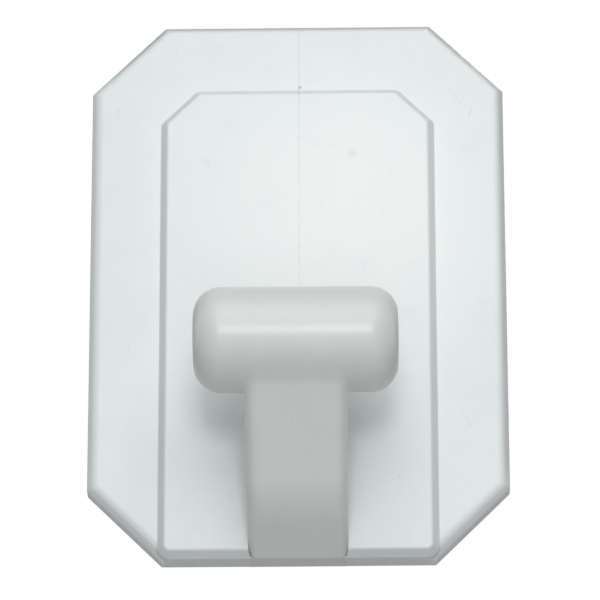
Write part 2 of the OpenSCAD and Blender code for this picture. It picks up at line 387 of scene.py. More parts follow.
class PlateFront:
    """Front surface of the cover plate, as a distance from the wall over its front view."""

    # Extra lines of the mesh beside the bevels, which keep the faces next to them flat
    edge_guard = 0.15
    bevel_guard = 0.12
    # How the fillet at the panel's foot fades in, away from the plate's edge
    fade_start = 0.3
    fade_run = 0.6
    # Drop of the rounding at the foot of the edge bevel, as a share of its width
    soft_drop = 0.85

    def __init__(self, s):
        self.plate = SoftOutline(plate_sides(s), mm(s.corner_radius))
        self.panel = SoftOutline(panel_sides(s), mm(s.panel_soft))
        self.front = mm(s.front)
        self.rise = mm(s.panel_rise)
        self.margin = self.front - self.rise
        self.edge_run = mm(s.edge_run)
        self.edge_slope = s.edge_slope
        self.edge_fillet = mm(s.edge_fillet)
        self.edge_soft = mm(s.edge_soft)
        self.edge = self.edge_run + self.edge_fillet * math.sin(s.edge_slope)
        self.bevel = mm(s.panel_bevel)
        self.slope = math.atan2(self.rise, self.bevel)
        self.foot = mm(s.foot_radius)
        self.foot_tangent = self.foot * math.tan(self.slope / 2)
        self.crest = mm(s.crest_radius)
        self.crest_tangent = self.crest * math.tan(self.slope / 2)

    def edge_levels(self):
        """Distances inside the plate's outline where the mesh has a line."""
        foot = [self.edge_soft * k / 3 for k in range(4)]
        arc = [self.edge - self.edge_fillet * math.sin(self.edge_slope * k / 6) for k in range(7)]
        return foot + arc[::-1] + [self.edge + self.edge_guard]

    def edge_drop(self, inside):
        """How far the front falls back towards the plate's outline."""
        left = np.clip(self.edge - inside, 0.0, None)
        arc = self.edge_fillet - np.sqrt(np.maximum(self.edge_fillet**2 - left**2, 0.0))
        start = self.edge_fillet * (1 - math.cos(self.edge_slope))
        flat = start + (self.edge_run - inside) * math.tan(self.edge_slope)
        soft = self.soft_drop * self.edge_soft * np.clip(1 - inside / self.edge_soft, 0.0, 1.0) ** 2
        return np.where(inside < self.edge_run, flat, arc) + soft

    def bevel_levels(self):
        """Distances inside the panel's outline where the mesh has a line."""
        low = [-self.foot_tangent + self.foot * math.sin(self.slope * k / 5) for k in range(6)]
        inner = self.bevel + self.crest_tangent
        high = [inner - self.crest * math.sin(self.slope * k / 7) for k in range(8)]
        return [low[0] - self.bevel_guard] + low + high[::-1] + [inner + self.bevel_guard]

    def distance(self, points):
        """Distance of the front surface from the wall."""
        inside = self.plate.depth(points)
        base = self.margin - self.edge_drop(np.maximum(inside, 0.0))
        t = self.panel.depth(points)
        climb = np.clip(t, 0.0, self.bevel) * math.tan(self.slope)
        # The fillet at the foot dies out where the panel meets the bottom edge
        start = np.clip(t + self.foot_tangent, 0.0, self.foot)
        foot = self.foot - np.sqrt(np.maximum(self.foot**2 - start**2, 0.0))
        share = np.clip((inside - t - self.fade_start) / self.fade_run, 0.0, 1.0)
        share = np.where(t < self.foot_tangent * math.cos(self.slope), share, 0.0)
        climb = climb + (foot - climb) * share
        left = np.clip(self.bevel + self.crest_tangent - t, 0.0, self.crest)
        crest = self.rise - self.crest + np.sqrt(np.maximum(self.crest**2 - left**2, 0.0))
        climb = np.where(left < self.crest * math.sin(self.slope), crest, climb)
        # The panel's side stands up over the plate's bevelled edge
        side = np.clip(1 + t / self.foot_tangent, 0.0, 1.0)
        return base + (self.margin + climb - base) * side


# Steps of the plate's mesh: along its lines, within reach of the lower corners, and on the flat faces
LINE_STEP = 1.0
FINE_STEP = 0.3
FINE_REACH = 4.0
GRID_STEP = 3.0


def cover_shell(s):
    """The cover plate as a closed body, without its hollows."""
    surface = PlateFront(s)
    points = []
    edges = []
    corner = Vector((mm(s.width) / 2 - mm(s.corner_cut), mm(s.height) / 2))

    def add_loop(loop):
        start = len(points)
        line = [Vector(p) for p in loop]
        for first, second in zip(line, line[1:] + line[:1]):
            points.append(first)
            # Short steps where the panel's side runs into the plate's bottom edge
            there = first
            while (second - there).length > 1e-6:
                near = there.y < 0 and (Vector((abs(there.x), -there.y)) - corner).length < FINE_REACH
                step = FINE_STEP if near else LINE_STEP
                if (second - there).length <= step * 1.4:
                    break
                there = there + (second - there).normalized() * step
                points.append(there)
        count = len(points) - start
        edges.extend((start + i, start + (i + 1) % count) for i in range(count))

    for level in surface.edge_levels():
        add_loop(surface.plate.loop(level))
    for level in surface.bevel_levels():
        add_loop(surface.panel.loop(level))
    wide = int(mm(s.width) / 2 / GRID_STEP)
    tall = int(mm(s.height) / 2 / GRID_STEP)
    grid = np.array([(i, j) for i in range(-wide, wide + 1) for j in range(-tall, tall + 1)]) * GRID_STEP
    # The grid stays clear of the lines along the edges and the bevels
    clear = surface.plate.depth(grid) > surface.edge + 0.8
    clear &= np.abs(surface.panel.depth(grid) - 0.4) > 1.4
    points.extend(Vector(p) for p in grid[clear])
    flat, _, triangles, _, _, _ = delaunay_2d_cdt(points, edges, [], 0, 1e-5)
    flat = np.array([tuple(p) for p in flat])
    faces = np.array([f for f in triangles if len(f) == 3])
    faces = faces[surface.plate.depth(flat[faces].mean(axis=1)) > 1e-4]
    heights = surface.distance(flat)
    work = bmesh.new()
    verts = {}
    for i in np.unique(faces):
        verts[i] = work.verts.new((flat[i][0], -heights[i], flat[i][1]))
    for f in faces:
        work.faces.new([verts[i] for i in f])
    # Side walls and the small radius on the rear edge
    back = mm(s.back)
    radius = mm(s.back_radius)
    rows = [(0.0, back + radius)]
    for degrees in (30, 60, 90):
        turn = math.radians(degrees)
        rows.append((radius * (1 - math.cos(turn)), back + radius * (1 - math.sin(turn))))
    rim = [e for e in work.edges if e.is_boundary]
    for inset, far in rows:
        grown = bmesh.ops.extrude_edge_only(work, edges=rim)["geom"]
        rim = [g for g in grown if isinstance(g, bmesh.types.BMEdge) and g.is_boundary]
        fresh = {v for e in rim for v in e.verts}
        spots = np.array([(v.co.x, v.co.z) for v in fresh])
        moved = spots + surface.plate.inward(spots) * (inset - surface.plate.depth(spots))[:, None]
        for v, (x, z) in zip(fresh, moved):
            v.co = (x, -far, z)
    bmesh.ops.contextual_create(work, geom=rim)
    return object_from_bmesh("Cover_plate", work)


# The cover plate's hollows: the gap around what they hold, how far the cuts run past the back,
# the ribs between them, and the places, radius and depth of the sockets
FIT_GAP = 0.1
OVERRUN = 1.0
RIB = 1.6
SEAT_RADIUS = 0.3
SOCKET_PLACES = ((-23.0, -24.0), (-23.0, 24.0), (23.0, -24.0), (23.0, 24.0))
SOCKET_RADIUS = 1.5
SOCKET_DEPTH = 1.3


def cover_hollows(s, h):
    """Bodies that are cut out of the cover plate from behind, in order."""
    bottom = -mm(s.height) / 2
    back = mm(s.back)
    start = back - OVERRUN
    seat = mm(h.root) - mm(h.tongue)
    if mm(-BACK_LOW.y) < seat:
        raise RuntimeError("the back plate's posts are shorter than the plate is thick")
    seat_loop = SoftOutline(plate_sides(s, mm(s.rim)), SEAT_RADIUS).loop(0.0, 3)
    channel = mm(h.tongue_width) / 2 + mm(h.play) / 4
    channel_box = box_points(-channel, bottom - OVERRUN, channel, mm(HOOK_HIGH.z) + FIT_GAP)
    tools = [
        prism("Seat", seat_loop, start, seat + FIT_GAP),
        prism("Channel", channel_box, start, mm(h.root) + mm(h.play)),
        arm_sleeve(HookShape(h, bottom), mm(h.play)),
    ]
    near = channel + RIB
    far = mm(s.panel_width) / 2 - mm(s.panel_bevel) - RIB
    low = bottom + mm(s.rim) + RIB
    high = mm(s.height) / 2 - mm(s.panel_drop) - mm(s.panel_cut) - RIB
    for left, right in ((-far, -near), (near, far)):
        hollow = box_points(left, low, right, high)
        tools.append(prism("Hollow", hollow, back - OVERRUN / 2, mm(h.root) + FIT_GAP))
    for x, z in SOCKET_PLACES:
        socket = disc_points(x, z, SOCKET_RADIUS + FIT_GAP)
        tools.append(prism("Socket", socket, back - OVERRUN / 3, seat + SOCKET_DEPTH + FIT_GAP))
    return tools


def rounded(u, v, radius):
    """Distance to a section that is bounded by two distances, with its edge rounded."""
    u = u + radius
    v = v + radius
    return np.hypot(np.maximum(u, 0), np.maximum(v, 0)) + np.minimum(np.maximum(u, v), 0) - radius


class HookShape:
    """Signed distance to the hook's arm and barrel, in millimetres."""

    # The arm's edges keep their root radius for a stretch, then reach their full radius over a run
    root_keep = 2.0
    root_blend = 7.0

    def __init__(self, s, bottom):
        self.rise = s.root_rise
        self.sweep = math.pi / 2 - s.lean - s.root_rise
        self.bend = mm(s.bend_radius)
        self.half = mm(s.thickness) / 2
        self.middle = self.bend - self.half
        self.edge = mm(s.edge_radius)
        self.root_edge = mm(s.root_radius)
        self.root_half = mm(s.root_width) / 2
        self.tip_half = mm(s.tip_width) / 2
        self.barrel_r = mm(s.barrel) / 2
        self.barrel_half = mm(s.barrel_length) / 2
        self.round = mm(s.barrel_round)
        self.dome = mm(s.barrel_dome)
        self.fillet = mm(s.fillet)
        self.root_out = np.array([math.sin(s.root_rise), -math.cos(s.root_rise)])
        self.root_up = np.array([math.cos(s.root_rise), math.sin(s.root_rise)])
        self.out = np.array([math.cos(s.lean), -math.sin(s.lean)])
        self.up = np.array([math.sin(s.lean), math.cos(s.lean)])
        # The arm starts inside the tongue, clear of the back plate
        behind = mm(s.foot) - mm(s.root) + mm(s.tongue) - FIT_GAP
        inside = (behind - mm(s.thickness) * math.sin(s.root_rise)) / math.cos(s.root_rise)
        self.stem = mm(s.root_run) + inside
        start = np.array([mm(s.foot), bottom])
        self.centre = start + self.root_up * mm(s.root_run) - self.root_out * self.bend
        axis_r = self.bend - self.barrel_r + mm(s.barrel_proud)
        self.run = (mm(s.reach) - self.barrel_r - self.centre[0] - axis_r * self.out[0]) / self.up[0]
        self.axis = self.centre + self.out * axis_r + self.up * self.run

    def half_width(self, way):
        """Half width of the arm, at a way along it from its start."""
        share = np.clip(way / (self.stem + self.middle * self.sweep + self.run), 0.0, 1.0)
        return self.root_half + (self.tip_half - self.root_half) * share

    def edge_at(self, way):
        """Radius on the arm's edges, at a way along it from its start."""
        share = np.clip((way - self.root_keep) / self.root_blend, 0.0, 1.0)
        return self.root_edge + (self.edge - self.root_edge) * share

    def arm(self, x, d, z):
        """Distance to the arm."""
        px = d - self.centre[0]
        pz = z - self.centre[1]
        above = px * self.up[0] + pz * self.up[1]
        below = px * self.root_up[0] + pz * self.root_up[1]
        upper = px * self.out[0] + pz * self.out[1]
        lower = px * self.root_out[0] + pz * self.root_out[1]
        radial = np.where(above > 0, upper, np.where(below < 0, lower, np.hypot(px, pz))) - self.middle
        way = np.where(below < 0, below, (np.arctan2(px, -pz) - self.rise) * self.middle)
        way = np.where(above > 0, above + self.middle * self.sweep, way) + self.stem
        edge = self.edge_at(way)
        body = rounded(np.abs(radial) - self.half, np.abs(x) - self.half_width(way), edge)
        body = np.maximum(body, np.where((above <= 0) & (below < 0), -below - self.stem, -1.0))
        return np.maximum(body, np.where(above > 0, above - self.run, -1.0))

    def barrel(self, x, d, z):
        """Distance to the barrel with its domed ends."""
        radial = np.hypot(d - self.axis[0], z - self.axis[1])
        end = np.abs(x) + self.dome * (radial / self.barrel_r) ** 2 - self.barrel_half
        return rounded(radial - self.barrel_r, end, self.round)

    def distance(self, points):
        """Distance to the blended arm and barrel."""
        x = points[:, 0]
        d = -points[:, 1]
        z = points[:, 2]
        a = self.arm(x, d, z)
        b = self.barrel(x, d, z)
        share = np.clip(0.5 + 0.5 * (b - a) / self.fillet, 0.0, 1.0)
        return b + (a - b) * share - self.fillet * share * (1 - share)

    def settle(self, points, rounds=8):
        """Moves points onto the surface."""
        step = 0.004
        least_slope = 0.05
        longest_move = 0.3
        for _ in range(rounds):
            gap = self.distance(points)
            moves = step * np.eye(3)
            slope = [(self.distance(points + m) - self.distance(points - m)) / (2 * step) for m in moves]
            slope = np.stack(slope, axis=1)
            size = np.maximum((slope**2).sum(axis=1), least_slope)
            points = points - np.clip(gap / size, -longest_move, longest_move)[:, None] * slope
        return points


def arm_sleeve(shape, play):
    """A body that clears the lower stretch of the arm, from behind the plate to in front of the panel."""
    rings = []
    for way in (-play, shape.root_keep, shape.stem):
        middle = shape.centre + shape.root_out * shape.middle + shape.root_up * (way - shape.stem)
        half = shape.half_width(way)
        edge = shape.edge_at(way)
        reach = edge + play
        ring = []
        for corner, (side, fore) in enumerate(((1, 1), (-1, 1), (-1, -1), (1, -1))):
            for k in range(9):
                turn = math.pi / 2 * (corner + k / 8)
                x = side * (half - edge) + reach * math.cos(turn)
                place = middle + shape.root_out * (fore * (shape.half - edge) + reach * math.sin(turn))
                ring.append((x, -place[0], place[1]))
        rings.append(ring)
    return loft("Sleeve", rings)


class Nodes:
    """The nodes of a tree. An input of a node is a value, or the socket it is linked to."""

    def __init__(self, tree):
        self.tree = tree

    def add(self, kind, inputs=None, **settings):
        """Adds a node and gives its outputs."""
        node = self.tree.nodes.new(kind)
        for key, value in settings.items():
            setattr(node, key, value)
        for key, value in (inputs or {}).items():
            if isinstance(value, bpy.types.NodeSocket):
                self.tree.links.new(value, node.inputs[key])
            else:
                node.inputs[key].default_value = value
        return node.outputs

    def calc(self, operation, *values):
        """A math node's result."""
        return self.add("ShaderNodeMath", dict(enumerate(values)), operation=operation)[0]

    def times(self, first, *others):
        """The product of values."""
        for other in others:
            first = self.calc("MULTIPLY", first, other)
        return first

    def scaled(self, value, factor, offset=0.0):
        """A value times a factor, plus an offset."""
        return self.calc("MULTIPLY_ADD", value, factor, offset)

    def ramp(self, value, low, high, at_low=0.0, at_high=1.0):
        """A smooth step of a value between two limits."""
        inputs = {"Value": value, "From Min": low, "From Max": high, "To Min": at_low, "To Max": at_high}
        return self.add("ShaderNodeMapRange", inputs, interpolation_type="SMOOTHSTEP")["Result"]

    def blend(self, factor, first, second):
        """A mix of two colours."""
        return self.add("ShaderNodeMix", {0: factor, 6: first, 7: second}, data_type="RGBA")[2]

    def speckle(self, vector, scale, detail, roughness=0.5):
        """A noise pattern, with its scale in repeats per millimetre."""
        inputs = {"Vector": vector, "Scale": scale, "Detail": detail, "Roughness": roughness}
        return self.add("ShaderNodeTexNoise", inputs)["Fac"]

    def cells(self, vector, scale, randomness):
        """Distance from the middle of the nearest cell."""
        inputs = {"Vector": vector, "Scale": scale, "Randomness": randomness}
        return self.add("ShaderNodeTexVoronoi", inputs)["Distance"]

    def axes(self, vector):
        """The three parts of a vector."""
        return self.add("ShaderNodeSeparateXYZ", {"Vector": vector})

    def turned(self, vector, turn):
        """A vector turned about the axis into the wall."""
        inputs = {"Vector": vector, "Angle": turn}
        return self.add("ShaderNodeVectorRotate", inputs, rotation_type="Y_AXIS")["Vector"]

    def stretched(self, vector, scale):
        """A vector scaled along its axes."""
        return self.add("ShaderNodeMapping", {"Vector": vector, "Scale": scale})["Vector"]

    def level(self, x, z):
        """A vector in the front view."""
        return self.add("ShaderNodeCombineXYZ", {"X": x, "Z": z})["Vector"]

    def from_place(self, vector, x, z):
        """Distance from a place on the front."""
        return self.add("ShaderNodeVectorMath", {0: vector, 1: (x, 0.0, z)}, operation="DISTANCE")["Value"]

    def fine_line(self, place, middle, core, reach):
        """A soft line across an axis, at one place on it."""
        return self.ramp(self.calc("ABSOLUTE", self.calc("SUBTRACT", place, middle)), core, reach, 1.0, 0.0)


CORE_SOCKETS = {
    "NodeSocketFloat": (
        "Arm width", "Arm thickness", "Edge radius", "Bend radius", "Start", "Sweep", "Barrel radius",
        "Barrel length",
    ),
    "NodeSocketVector": ("Root", "Bend start", "Bend end", "Arm end", "Barrel place"),
    "NodeSocketMaterial": ("Finish",),
}


def hook_core_tree():
    """Geometry nodes that sweep the arm along its path and set the barrel on its end."""
    tree = bpy.data.node_groups.new("Hook core", "GeometryNodeTree")
    for kind, names in CORE_SOCKETS.items():
        for name in names:
            tree.interface.new_socket(name=name, in_out="INPUT", socket_type=kind)
    tree.interface.new_socket(name="Geometry", in_out="OUTPUT", socket_type="NodeSocketGeometry")
    n = Nodes(tree)
    given = n.add("NodeGroupInput")
    section = {"Width": given["Arm thickness"], "Height": given["Arm width"]}
    section = n.add("GeometryNodeCurvePrimitiveQuadrilateral", section)["Curve"]
    section = {"Curve": section, "Count": 5, "Radius": given["Edge radius"]}
    section = n.add("GeometryNodeFilletCurve", section, mode="POLY")["Curve"]
    bend = {"Resolution": 24, "Radius": given["Bend radius"]}
    bend.update({"Start Angle": given["Start"], "Sweep Angle": given["Sweep"]})
    paths = (
        ("GeometryNodeCurvePrimitiveLine", {"Start": given["Root"], "End": given["Bend start"]}),
        ("GeometryNodeCurveArc", bend),
        ("GeometryNodeCurvePrimitiveLine", {"Start": given["Bend end"], "End": given["Arm end"]}),
    )
    joined = tree.nodes.new("GeometryNodeJoinGeometry")
    for kind, inputs in paths:
        path = {"Curve": n.add(kind, inputs)["Curve"]}
        path = n.add("GeometryNodeSetCurveNormal", path, mode="Z_UP")["Curve"]
        swept = {"Curve": path, "Profile Curve": section, "Fill Caps": True}
        tree.links.new(n.add("GeometryNodeCurveToMesh", swept)["Mesh"], joined.inputs["Geometry"])
    barrel = {"Vertices": 64, "Radius": given["Barrel radius"], "Depth": given["Barrel length"]}
    barrel = n.add("GeometryNodeMeshCylinder", barrel)["Mesh"]
    barrel = n.add("GeometryNodeTransform", {"Geometry": barrel, "Translation": given["Barrel place"]})
    tree.links.new(barrel["Geometry"], joined.inputs["Geometry"])
    dressed = n.add("GeometryNodeRealizeInstances", {"Geometry": joined.outputs["Geometry"]})["Geometry"]
    dressed = n.add("GeometryNodeSetMaterial", {"Geometry": dressed, "Material": given["Finish"]})["Geometry"]
    tree.links.new(dressed, tree.nodes.new("NodeGroupOutput").inputs["Geometry"])
    return tree


def hook_core(shape, material):
    """Rough arm and barrel from the geometry nodes, in millimetres in the frame."""
    core = link_object("Hook_arm", bpy.data.meshes.new("Hook_arm"))
    modifier = core.modifiers.new("Core", "NODES")
    modifier.node_group = hook_core_tree()
    first = shape.root_out * shape.middle
    foot = first - shape.root_up * shape.stem
    last = shape.out * shape.middle
    tip = last + shape.up * shape.run
    barrel = shape.axis - shape.centre
    values = {
        "Arm width": 2 * shape.root_half,
        "Arm thickness": 2 * shape.half,
        "Edge radius": shape.edge,
        "Bend radius": shape.middle,
        "Start": shape.rise - math.pi / 2,
        "Sweep": shape.sweep,
        "Barrel radius": shape.barrel_r,
        "Barrel length": 2 * shape.barrel_half,
        "Finish": material,
    }
    places = {"Root": foot, "Bend start": first, "Bend end": last, "Arm end": tip, "Barrel place": barrel}
    values.update({name: (place[0], place[1], 0.0) for name, place in places.items()})
    for item in modifier.node_group.interface.items_tree:
        if item.in_out == "INPUT":
            modifier[item.identifier] = values[item.name]
    bake_modifiers(core)
    # The nodes work in the plane of the path, which is then stood up across the part
    turn = Matrix(((0, 0, -1, 0), (-1, 0, 0, -shape.centre[0]), (0, 1, 0, shape.centre[1]), (0, 0, 0, 1)))
    core.data.transform(turn)
    return core


# A reach that is well clear of the hook, and the height of the tongue's foot
CLEAR = 20.0
FOOT_HEIGHT = 2.0


def hook_tongue(s, bottom):
    """The flat tongue behind the panel, with the holes of its posts."""
    root = mm(s.root)
    seat = root - mm(s.tongue)
    back = mm(-HOOK_HIGH.y)
    low = bottom + mm(s.tongue_lift)
    high = mm(HOOK_HIGH.z)
    half = mm(s.tongue_width) / 2
    cut = mm(s.tongue_cut)
    outline = [(-half, low), (half, low), (half, high - cut), (half - cut, high)]
    outline += [(cut - half, high), (-half, high - cut)]
    tongue = prism("Tongue", outline, back, root)
    # The foot of the tongue is thicker than the rest
    behind = box_points(-CLEAR, bottom + FOOT_HEIGHT, CLEAR, high + CLEAR)
    combine(tongue, prism("Behind", behind, back - CLEAR, seat), "DIFFERENCE")
    for i in (0, 1):
        z = bottom + mm(s.post_height) + i * mm(s.post_pitch)
        hole = disc_points(0, z, mm(s.post_hole) / 2)
        combine(tongue, prism("Hole", hole, back - CLEAR, root + CLEAR), "DIFFERENCE")
    return tongue


# Step of the mesh along the pad's edge
PAD_STEP = 0.5


def pad_layer(name, outline, near, far, bow, rough, rows, seed):
    """A die-cut layer of the pad, with an uneven edge that is drawn in at the middle of its thickness."""
    corners = [Vector(p) for p in outline.loop(0.0, 4)]
    loop = []
    for i, corner in enumerate(corners):
        following = corners[(i + 1) % len(corners)]
        pieces = max(1, round((following - corner).length / PAD_STEP))
        loop.extend(corner.lerp(following, k / pieces) for k in range(pieces))
    spots = np.array([tuple(p) for p in loop])
    inward = outline.inward(spots)
    rings = []
    for row in range(rows + 1):
        share = row / rows
        d = near + (far - near) * share
        ring = []
        for (x, z), (gx, gz) in zip(spots, inward):
            grain = noise.noise(Vector((x * 1.3 + seed, z * 1.3, d * 2.5)))
            grain += 0.6 * noise.noise(Vector((x * 3.9, z * 3.9 + seed, d * 6.0)))
            draw = bow * (1 - (2 * share - 1) ** 2) + rough * (1.2 + grain)
            ring.append((x + gx * draw, -d, z + gz * draw))
        rings.append(ring)
    return loft(name, rings)


def skin_pattern(n, given):
    """Slow tone changes and fine grain of a moulded skin."""
    tone = n.speckle(given["Vector"], n.calc("DIVIDE", 1.0, given["Tone size"]), 4.0, 0.6)
    grain = n.speckle(given["Vector"], n.calc("DIVIDE", 1.0, given["Grain size"]), 2.0, 0.55)
    return {"Tone": n.ramp(tone, 0.3, 0.7), "Grain": grain}


def wear_pattern(n, given):
    """Faint rubbed streaks and smudges from handling."""
    streaks = n.speckle(n.stretched(n.turned(given["Vector"], given["Turn"]), (2.6, 2.6, 0.22)), 1.0, 3.0)
    smudges = n.speckle(given["Vector"], 0.16, 5.0, 0.65)
    return {"Streaks": n.ramp(streaks, 0.66, 0.78), "Smudges": n.ramp(smudges, 0.55, 0.72)}


def nick_pattern(n, given):
    """A short fine line on the front, at a place and turn."""
    offset = {0: given["Vector"], 1: n.level(given["X"], given["Z"])}
    offset = n.add("ShaderNodeVectorMath", offset, operation="SUBTRACT")["Vector"]
    parts = n.axes(n.turned(offset, given["Turn"]))
    across = n.calc("DIVIDE", n.calc("ABSOLUTE", parts["X"]), given["Width"])
    along = n.calc("DIVIDE", n.calc("ABSOLUTE", parts["Z"]), given["Length"])
    return {"Mask": n.times(n.ramp(across, 0.15, 0.6, 1.0, 0.0), n.ramp(along, 0.3, 0.5, 1.0, 0.0))}


def outline_pattern(n, given):
    """Depth inside an upright outline with clipped corners."""
    parts = n.axes(given["Vector"])
    wide = n.calc("ABSOLUTE", parts["X"])
    down = n.times(parts["Z"], -1.0)
    places = {
        "Top": parts["Z"],
        "Bottom": down,
        "Upper cut": n.times(n.calc("ADD", wide, parts["Z"]), math.sqrt(0.5)),
        "Lower cut": n.times(n.calc("ADD", wide, down), math.sqrt(0.5)),
    }
    depth = n.calc("SUBTRACT", given["Side"], wide)
    for name, place in places.items():
        depth = n.calc("MINIMUM", depth, n.calc("SUBTRACT", given[name], place))
    return {"Depth": depth}


# Patterns that the materials share, with the sizes they take besides a place in millimetres
PATTERNS = {
    "Moulded skin": (skin_pattern, ("Tone size", "Grain size")),
    "Handling wear": (wear_pattern, ("Turn",)),
    "Nick": (nick_pattern, ("X", "Z", "Turn", "Length", "Width")),
    "Clipped outline": (outline_pattern, ("Side", "Top", "Bottom", "Upper cut", "Lower cut")),
}


def pattern_group(name):
    """The node group of a shared pattern, made on its first use."""
    if name in bpy.data.node_groups:
        return bpy.data.node_groups[name]
    pattern, sizes = PATTERNS[name]
    tree = bpy.data.node_groups.new(name, "ShaderNodeTree")
    tree.interface.new_socket(name="Vector", in_out="INPUT", socket_type="NodeSocketVector")
    for size in sizes:
        tree.interface.new_socket(name=size, in_out="INPUT", socket_type="NodeSocketFloat")
    found = pattern(Nodes(tree), tree.nodes.new("NodeGroupInput").outputs)
    for output in found:
        tree.interface.new_socket(name=output, in_out="OUTPUT", socket_type="NodeSocketFloat")
    result = tree.nodes.new("NodeGroupOutput")
    for output, value in found.items():
        tree.links.new(value, result.inputs[output])
    return tree


class Finish(Nodes):
    """A procedural material in the making. Its places are in millimetres."""

    def __init__(self, name, tint):
        self.material = bpy.data.materials.new(name)
        self.material.use_nodes = True
        super().__init__(self.material.node_tree)
        self.shader = self.tree.nodes["Principled BSDF"]
        self.vector = self.stretched(self.add("ShaderNodeTexCoord")["Object"], (1 / MM, 1 / MM, 1 / MM))
        self.tint = tint

    def pattern(self, name, *sizes):
        """A shared pattern's outputs."""
        inputs = {"Vector": self.vector, **dict(zip(PATTERNS[name][1], sizes))}
        return self.add("ShaderNodeGroup", inputs, node_tree=pattern_group(name))

    def depth(self, sides):
        """Depth inside an outline."""
        side, upper, top, _, _, lower, bottom, _ = (distance for _, distance in sides)
        return self.pattern("Clipped outline", side, top, bottom, upper, lower)["Depth"]

    def shade(self, *parts):
        """The tint with its parts scaled."""
        return (*(whole * part for whole, part in zip(self.tint, parts)), 1.0)

    def base(self, mask, low, high):
        """Lays down the colour, between two shades."""
        self.colour = self.blend(mask, self.shade(*low), self.shade(*high))

    def stain(self, mask, strength, *parts):
        """Shades the colour where a mask says."""
        self.colour = self.blend(self.times(mask, strength), self.colour, self.shade(*parts))

    def link(self, name, value):
        """Links a value to the shader."""
        self.tree.links.new(value, self.shader.inputs[name])

    def done(self, rough, height, distance, strength):
        """Links the colour, the roughness and a bump whose distance is in millimetres."""
        self.link("Base Color", self.colour)
        self.link("Roughness", rough)
        bump = {"Height": height, "Distance": distance * MM, "Strength": strength}
        self.link("Normal", self.add("ShaderNodeBump", bump)["Normal"])
        return self.material


# Short lines on the plate: x, z, turn in degrees, length, width and strength
NICKS = (
    (21.5, 27.6, 35.5, 3.7, 0.17, 0.22),
    (23.5, 25.3, -12.0, 2.1, 0.2, 0.3),
    (-16.5, 34.6, 3.0, 2.0, 0.2, 0.22),
    (-24.4, 25.5, -3.0, 2.0, 0.22, 0.24),
    (22.5, -19.6, 30.0, 3.6, 0.18, 0.25),
    (-22.8, -9.5, -14.0, 2.2, 0.18, 0.16),
    (-8.8, -30.3, 12.0, 2.2, 0.2, 0.2),
    (8.6, -28.8, -20.0, 2.4, 0.2, 0.18),
    (0.2, 27.8, 0.0, 1.8, 0.3, 0.4),
    (-12.35, 17.65, 45.0, 1.7, 1.0, 0.13),
)
# Dark spots on the plate: x, z, radius and strength
SPOTS = ((7.4, 18.8, 0.9, 0.17), (0.3, 29.15, 0.36, 1.0), (13.4, -27.9, 0.16, 0.6))
# Middle of the painted pool of light, where the plate is palest: x, z
PAINTED_GLOW_PLACE = (6.0, 11.0)
# Where the plate's weld line and the arm's parting line lie across the width
WELD_PLACE = 0.2
SEAM_PLACE = -0.1


def plate_marks(f, parts, front):
    """The weld line, the nicks and the spots on the cover plate, as one mask."""
    broken = f.ramp(f.speckle(f.vector, 0.9, 3.0), 0.38, 0.62, 0.35, 1.0)
    marks = f.times(f.fine_line(parts["X"], WELD_PLACE, 0.04, 0.15), broken, 0.26)
    for x, z, turn, long, wide, strength in NICKS:
        nick = f.pattern("Nick", x, z, math.radians(turn), long, wide)["Mask"]
        marks = f.calc("MAXIMUM", marks, f.times(nick, strength))
    for x, z, radius, strength in SPOTS:
        spot = f.ramp(f.from_place(front, x, z), radius * 0.3, radius, strength, 0.0)
        marks = f.calc("MAXIMUM", marks, spot)
    return marks


def cover_material(s):
    """Satin white moulded plastic with a weld line down its middle, marks from use, painted shade on its
    edges and bevels, and a painted pool of light around its middle.
    """
    f = Finish("Satin cover plastic", s.tint)
    skin = f.pattern("Moulded skin", 9.0, 0.42)
    wear = f.pattern("Handling wear", 0.06)
    parts = f.axes(f.vector)
    front = f.level(parts["X"], parts["Z"])
    marks = plate_marks(f, parts, front)
    f.base(skin["Tone"], (0.985, 0.99, 1.0), (1.02, 1.015, 1.01))
    # Painted pool of light: the plate is made paler around its middle
    f.stain(f.ramp(f.from_place(front, *PAINTED_GLOW_PLACE), 2.0, 34.0, 1.0, 0.0), 1.0, 1.14, 1.12, 1.11)
    f.stain(wear["Smudges"], 0.25, 0.95, 0.955, 0.975)
    f.stain(wear["Streaks"], 0.3, 0.93, 0.935, 0.94)
    f.stain(marks, 1.0, 0.62, 0.63, 0.64)
    # Painted shade: the edges and the panel's bevels are greyed where the light leaves them too bright
    depth = f.depth(plate_sides(s))
    panel = f.depth(panel_sides(s))
    bevel = mm(s.panel_bevel)
    shaded_bevel_band = f.times(f.ramp(panel, -0.1, 0.1), f.ramp(panel, bevel - 0.1, bevel + 0.3, 1.0, 0.0))
    edge = f.times(f.ramp(depth, 0.0, 0.12), f.ramp(depth, 0.4, 0.8, 0.7, 0.0))
    f.stain(f.calc("MAXIMUM", shaded_bevel_band, edge), s.painted_edge_shade, 0.7, 0.7, 0.71)
    # Painted shade: the front edges at the top and on the right are made greyer than the others
    right = f.times(f.ramp(parts["X"], 20.0, 27.0), f.ramp(parts["Z"], -30.0, -24.0, 0.0, 0.6))
    painted_edge_darkening = f.calc("MAXIMUM", right, f.ramp(parts["Z"], 28.0, 37.0))
    painted_edge_darkening = f.times(painted_edge_darkening, f.ramp(depth, 0.1, 1.3, 1.0, 0.0), f.ramp(parts["Y"], -3.2, -2.8, 0.95, 0.0))
    f.stain(painted_edge_darkening, 1.0, 0.6, 0.595, 0.59)
    rough = f.calc("ADD", f.scaled(skin["Grain"], 0.1, 0.36), f.times(wear["Smudges"], 0.06))
    return f.done(rough, f.calc("SUBTRACT", f.times(skin["Grain"], 0.35), marks), 0.03, 0.5)


